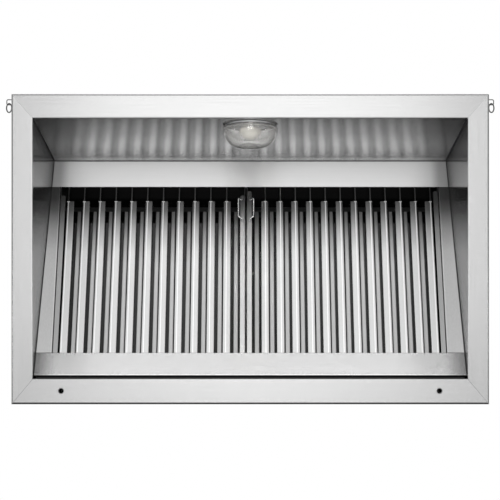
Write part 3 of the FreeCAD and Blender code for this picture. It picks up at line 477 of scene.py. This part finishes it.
section = []
for stretch, depth in ((NECK_AND_SHOULDER, 0.0), (FLUTED_BOWL, FLUTE_DEPTH), (BASE + INSIDE, 0.0)):
    section += [(radius, height, depth) for radius, height in stretch]
globe_points = []
for i in range(TURNS):
    angle = 2 * math.pi * i / TURNS
    way = Vector(ACROSS) * math.cos(angle) + light_up * math.sin(angle)
    for radius, height, depth in section:
        wave = depth * math.cos(FLUTES * angle)
        outwards = way * (radius + wave) / MILLIMETRES_A_METRE
        downwards = light_axis * height / MILLIMETRES_A_METRE
        globe_points.append(light_place + outwards + downwards)
ring = len(section)
globe_faces = []
for i in range(TURNS):
    here = i * ring
    beside = (i + 1) % TURNS * ring
    for k in range(ring):
        after = (k + 1) % ring
        globe_faces.append((here + k, here + after, beside + after, beside + k))
globe = piece("pressed_globe", globe_points, globe_faces, glass, "globe")
globe.data.polygons.foreach_set("use_smooth", [True] * len(globe_faces))
globe.data.set_sharp_from_angle(angle=SHARP_EDGE)
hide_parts("light_globe")

# Corners of a bar, in the order in which bar() lists them, round each of its six faces
BOX_FACES = [(0, 1, 3, 2), (4, 6, 7, 5), (0, 4, 5, 1), (2, 3, 7, 6), (0, 2, 6, 4), (1, 5, 7, 3)]


def bar(start, end, across, width, rise, depth):
    """Corners of a flat bar from start to end: its width lies across, its depth goes along rise."""
    half = Vector(across) * width / 2
    return [Vector(point) + turn * half + Vector(rise) * part
            for point in (start, end) for turn in SIDES for part in (0.0, depth)]


def bars(name, rows, material, body):
    """Several bars as one piece."""
    points = []
    faces = []
    for row in rows:
        faces += [tuple(corner + len(points) for corner in face) for face in BOX_FACES]
        points += bar(*row)
    piece(name, points, faces, material, body)


def sided(turn, x, y, z):
    """Point on the hood's right side, or its mirror image on the left for a turn of -1."""
    return (turn * x, y, z)


# Near-black sealant strips in the corners of the mouth, which paint the shade of the gaps there: over
# the front wall, and at its ends and the filters' ends
SEAL_DEPTH = 0.001
TOP_SEAM_WIDTH = 0.0044
TOP_SEAM_END = (0.532, -0.2398, 0.5718)
FILTER_SEAM_WIDTH = 0.0052
FILTER_SEAM_TOP = (0.533, -0.2404, 0.5726)
FILTER_SEAM_FOOT = (0.555, 0.3226, 0.0096)
WALL_SEAM_WIDTH = 0.0036
WALL_SEAM_TOP = (0.531, -0.2404, 0.5726)
WALL_SEAM_FOOT = (0.5542, -0.3318, 0.019)
top_seam_ends = [sided(turn, *TOP_SEAM_END) for turn in SIDES]
seam_rows = [(*top_seam_ends, FRONT_TO_BACK, TOP_SEAM_WIDTH, DOWN, SEAL_DEPTH)]
for turn in SIDES:
    filter_seam = (sided(turn, *FILTER_SEAM_TOP), sided(turn, *FILTER_SEAM_FOOT))
    wall_seam = (sided(turn, *WALL_SEAM_FOOT), sided(turn, *WALL_SEAM_TOP))
    seam_rows.append((*filter_seam, ACROSS, FILTER_SEAM_WIDTH, OUT_OF_SLOPE, SEAL_DEPTH))
    seam_rows.append((*wall_seam, ACROSS, WALL_SEAM_WIDTH, FRONT_TO_BACK, SEAL_DEPTH))
bars("corner_sealant_and_shade", seam_rows, seam, "hood")

# Mitred joints of the rim, plain at the rear and almost closed at the front
MITRE_OUTER_X = 0.6084
MITRE_INNER_X = 0.555
MITRE_LEVEL = 0.0004
MITRE_WIDTH = 0.0011
MITRE_DEPTH = 0.0005

# Each pair of joints: its finish, and where it starts and ends from front to back
MITRES = (("rear_mitres", mitre, 0.3948, 0.331), ("front_mitres", faint_mitre, -0.3948, -0.3335))
for name, material, outer_y, inner_y in MITRES:
    mitre_rows = []
    for turn in SIDES:
        outer = sided(turn, MITRE_OUTER_X, outer_y, MITRE_LEVEL)
        corner = sided(turn, MITRE_INNER_X, inner_y, MITRE_LEVEL)
        mitre_rows.append((outer, corner, ACROSS, MITRE_WIDTH, DOWN, MITRE_DEPTH))
    bars(name, mitre_rows, material, "hood")

# Painted highlight down the crest of each ridge, a painted glint at its head, and a dark stem above it
# that paints the ridge running on in shade
RIDGE_HEAD = Vector((0.0, -0.1284, 0.4652))
RIDGE_FOOT = Vector((0.0, 0.2735, 0.0633))
STEM_HEAD = Vector((0.0, -0.168, 0.5048))
CREST_WIDTH = 0.0026
STEM_WIDTH = 0.003
LINE_DEPTH = 0.0003
GLINT_LENGTH = 0.003
GLINT_WIDTH = 0.0075
GLINT_DEPTH = 0.0006

# A crest lies outside its ridge's middle, by this much and by this share of the middle's distance
CREST_SET = 0.0012
CREST_SPREAD = 0.0098

# Each filter's first ridge, its pitch and its count of ridges
RIDGES = (("left", -0.0615, -0.042, 11), ("right", 0.039, 0.03986, 12))
for side, first, pitch, count in RIDGES:
    crest_rows = []
    stem_rows = []
    head_glint_rows = []
    for i in range(count):
        middle = first + pitch * i
        shift = Vector((middle + math.copysign(CREST_SET, middle) + CREST_SPREAD * middle, 0.0, 0.0))
        head = RIDGE_HEAD + shift
        glint_end = head + Vector(DOWN_SLOPE) * GLINT_LENGTH
        crest_rows.append((head, RIDGE_FOOT + shift, ACROSS, CREST_WIDTH, OUT_OF_SLOPE, LINE_DEPTH))
        stem_rows.append((STEM_HEAD + shift, head, ACROSS, STEM_WIDTH, OUT_OF_SLOPE, LINE_DEPTH))
        head_glint_rows.append((head, glint_end, ACROSS, GLINT_WIDTH, OUT_OF_SLOPE, GLINT_DEPTH))
    bars(side + "_ridge_crests", crest_rows, crest_painted_highlight, side + "_filter")
    bars(side + "_ridge_stems", stem_rows, stem, side + "_filter")
    bars(side + "_ridge_glints", head_glint_rows, crest_painted_highlight, side + "_filter")

# Camera under the mouth, looking straight up into it, with the hood's front at the top of the picture
CAMERA_DISTANCE = 9.067
FRAME_WIDTH = 1.2765
CAMERA_X = -0.0006
CAMERA_Y = 0.0022
lens = bpy.data.cameras.new("camera")
lens.sensor_width = 36.0
lens.lens = lens.sensor_width * CAMERA_DISTANCE / FRAME_WIDTH
lens.clip_start = 0.1
lens.clip_end = 100.0
camera = bpy.data.objects.new("camera", lens)
camera.location = (CAMERA_X, CAMERA_Y, -CAMERA_DISTANCE)
camera.rotation_euler = (math.pi, 0.0, 0.0)
scene.collection.objects.link(camera)
scene.camera = camera

# World: white where the camera, metal and glass look, and a plain level for the rest
PLAIN_LEVEL = 0.5
WHITE = (1.0, 1.0, 1.0, 1.0)
world = bpy.data.worlds.new("studio")
scene.world = world
world.use_nodes = True
tree = world.node_tree
plain = tree.nodes["Background"]
plain.inputs["Strength"].default_value = PLAIN_LEVEL
white = tree.nodes.new("ShaderNodeBackground")
for background in (plain, white):
    background.inputs["Color"].default_value = WHITE
paths = tree.nodes.new("ShaderNodeLightPath")
sees_white = paths.outputs["Is Camera Ray"]
for ray in ("Is Glossy Ray", "Is Transmission Ray"):
    either = tree.nodes.new("ShaderNodeMath")
    either.operation = "MAXIMUM"
    tree.links.new(sees_white, either.inputs[0])
    tree.links.new(paths.outputs[ray], either.inputs[1])
    sees_white = either.outputs["Value"]
blend = tree.nodes.new("ShaderNodeMixShader")
tree.links.new(sees_white, blend.inputs["Fac"])
tree.links.new(plain.outputs["Background"], blend.inputs[1])
tree.links.new(white.outputs["Background"], blend.inputs[2])
tree.links.new(blend.outputs["Shader"], tree.nodes["World Output"].inputs["Surface"])


def soft_lamp(name, place, aim, size, power, in_metal=False):
    """Square lamp that only metal may show, turned from its place to its aim."""
    data = bpy.data.lights.new(name, "AREA")
    data.size = size
    data.energy = power
    lamp = bpy.data.objects.new(name, data)
    lamp.location = place
    lamp.rotation_euler = (Vector(aim) - Vector(place)).to_track_quat("-Z", "Y").to_euler()
    lamp.visible_camera = False
    lamp.visible_glossy = in_metal
    scene.collection.objects.link(lamp)


# Lamps under, before and behind the mouth, a small one at each side, and two above for the outside
soft_lamp("softbox", place=(0.0, -0.3, -2.2), aim=(0.0, -0.1, 0.3), size=1.2, power=5.4, in_metal=True)
soft_lamp("front_box", place=(0.0, -1.95, -1.9), aim=(0.0, 0.0, 0.3), size=1.0, power=31.0)
soft_lamp("under_box", place=(0.0, -0.3, -2.3), aim=(0.0, -0.1, 0.4), size=0.9, power=55.0)
for turn in SIDES:
    place = (turn * 2.4, 0.2, -0.8)
    soft_lamp("sparkle", place=place, aim=(0.0, -0.2, 0.1), size=0.16, power=2.0, in_metal=True)
soft_lamp("bounce", place=(0.0, 3.0, -1.6), aim=(0.0, 0.0, 0.2), size=4.0, power=30.0, in_metal=True)
soft_lamp("key", place=(-2.4, -2.6, 3.0), aim=(0.0, 0.0, 0.3), size=2.0, power=110.0)
soft_lamp("fill", place=(2.8, 2.2, 2.6), aim=(0.0, 0.0, 0.3), size=2.4, power=70.0)

# Floor: seen from above only, and out of the way of the light that enters the mouth from below
FLOOR_REACH = 12.0
FLOOR_LEVEL = -0.002
FLOOR_TURNS = ((-1, -1), (1, -1), (1, 1), (-1, 1))
floor_corners = [(x * FLOOR_REACH, y * FLOOR_REACH, FLOOR_LEVEL) for x, y in FLOOR_TURNS]
mesh = bpy.data.meshes.new("floor")
mesh.from_pydata(floor_corners, [], [(0, 1, 2, 3)])
floor = bpy.data.objects.new("floor", mesh)
scene.collection.objects.link(floor)
paint = Shader("floor_paint")
paint.feed(Base_Color=paint.tinted(paint.speckle(FLOOR_MOTTLE), grey(0.86), grey(0.9)))
paint.set(Roughness=0.8)
facing = paint.add("ShaderNodeNewGeometry")
clear = paint.add("ShaderNodeBsdfTransparent")
one_way = paint.add("ShaderNodeMixShader")
paint.join(facing.outputs["Backfacing"], one_way.inputs["Fac"])
paint.join(paint.bsdf.outputs["BSDF"], one_way.inputs[1])
paint.join(clear.outputs["BSDF"], one_way.inputs[2])
paint.join(one_way.outputs["Shader"], paint.tree.nodes["Material Output"].inputs["Surface"])
mesh.materials.append(paint.material)
for ray in ("diffuse", "glossy", "transmission", "volume_scatter", "shadow"):
    setattr(floor, "visible_" + ray, False)
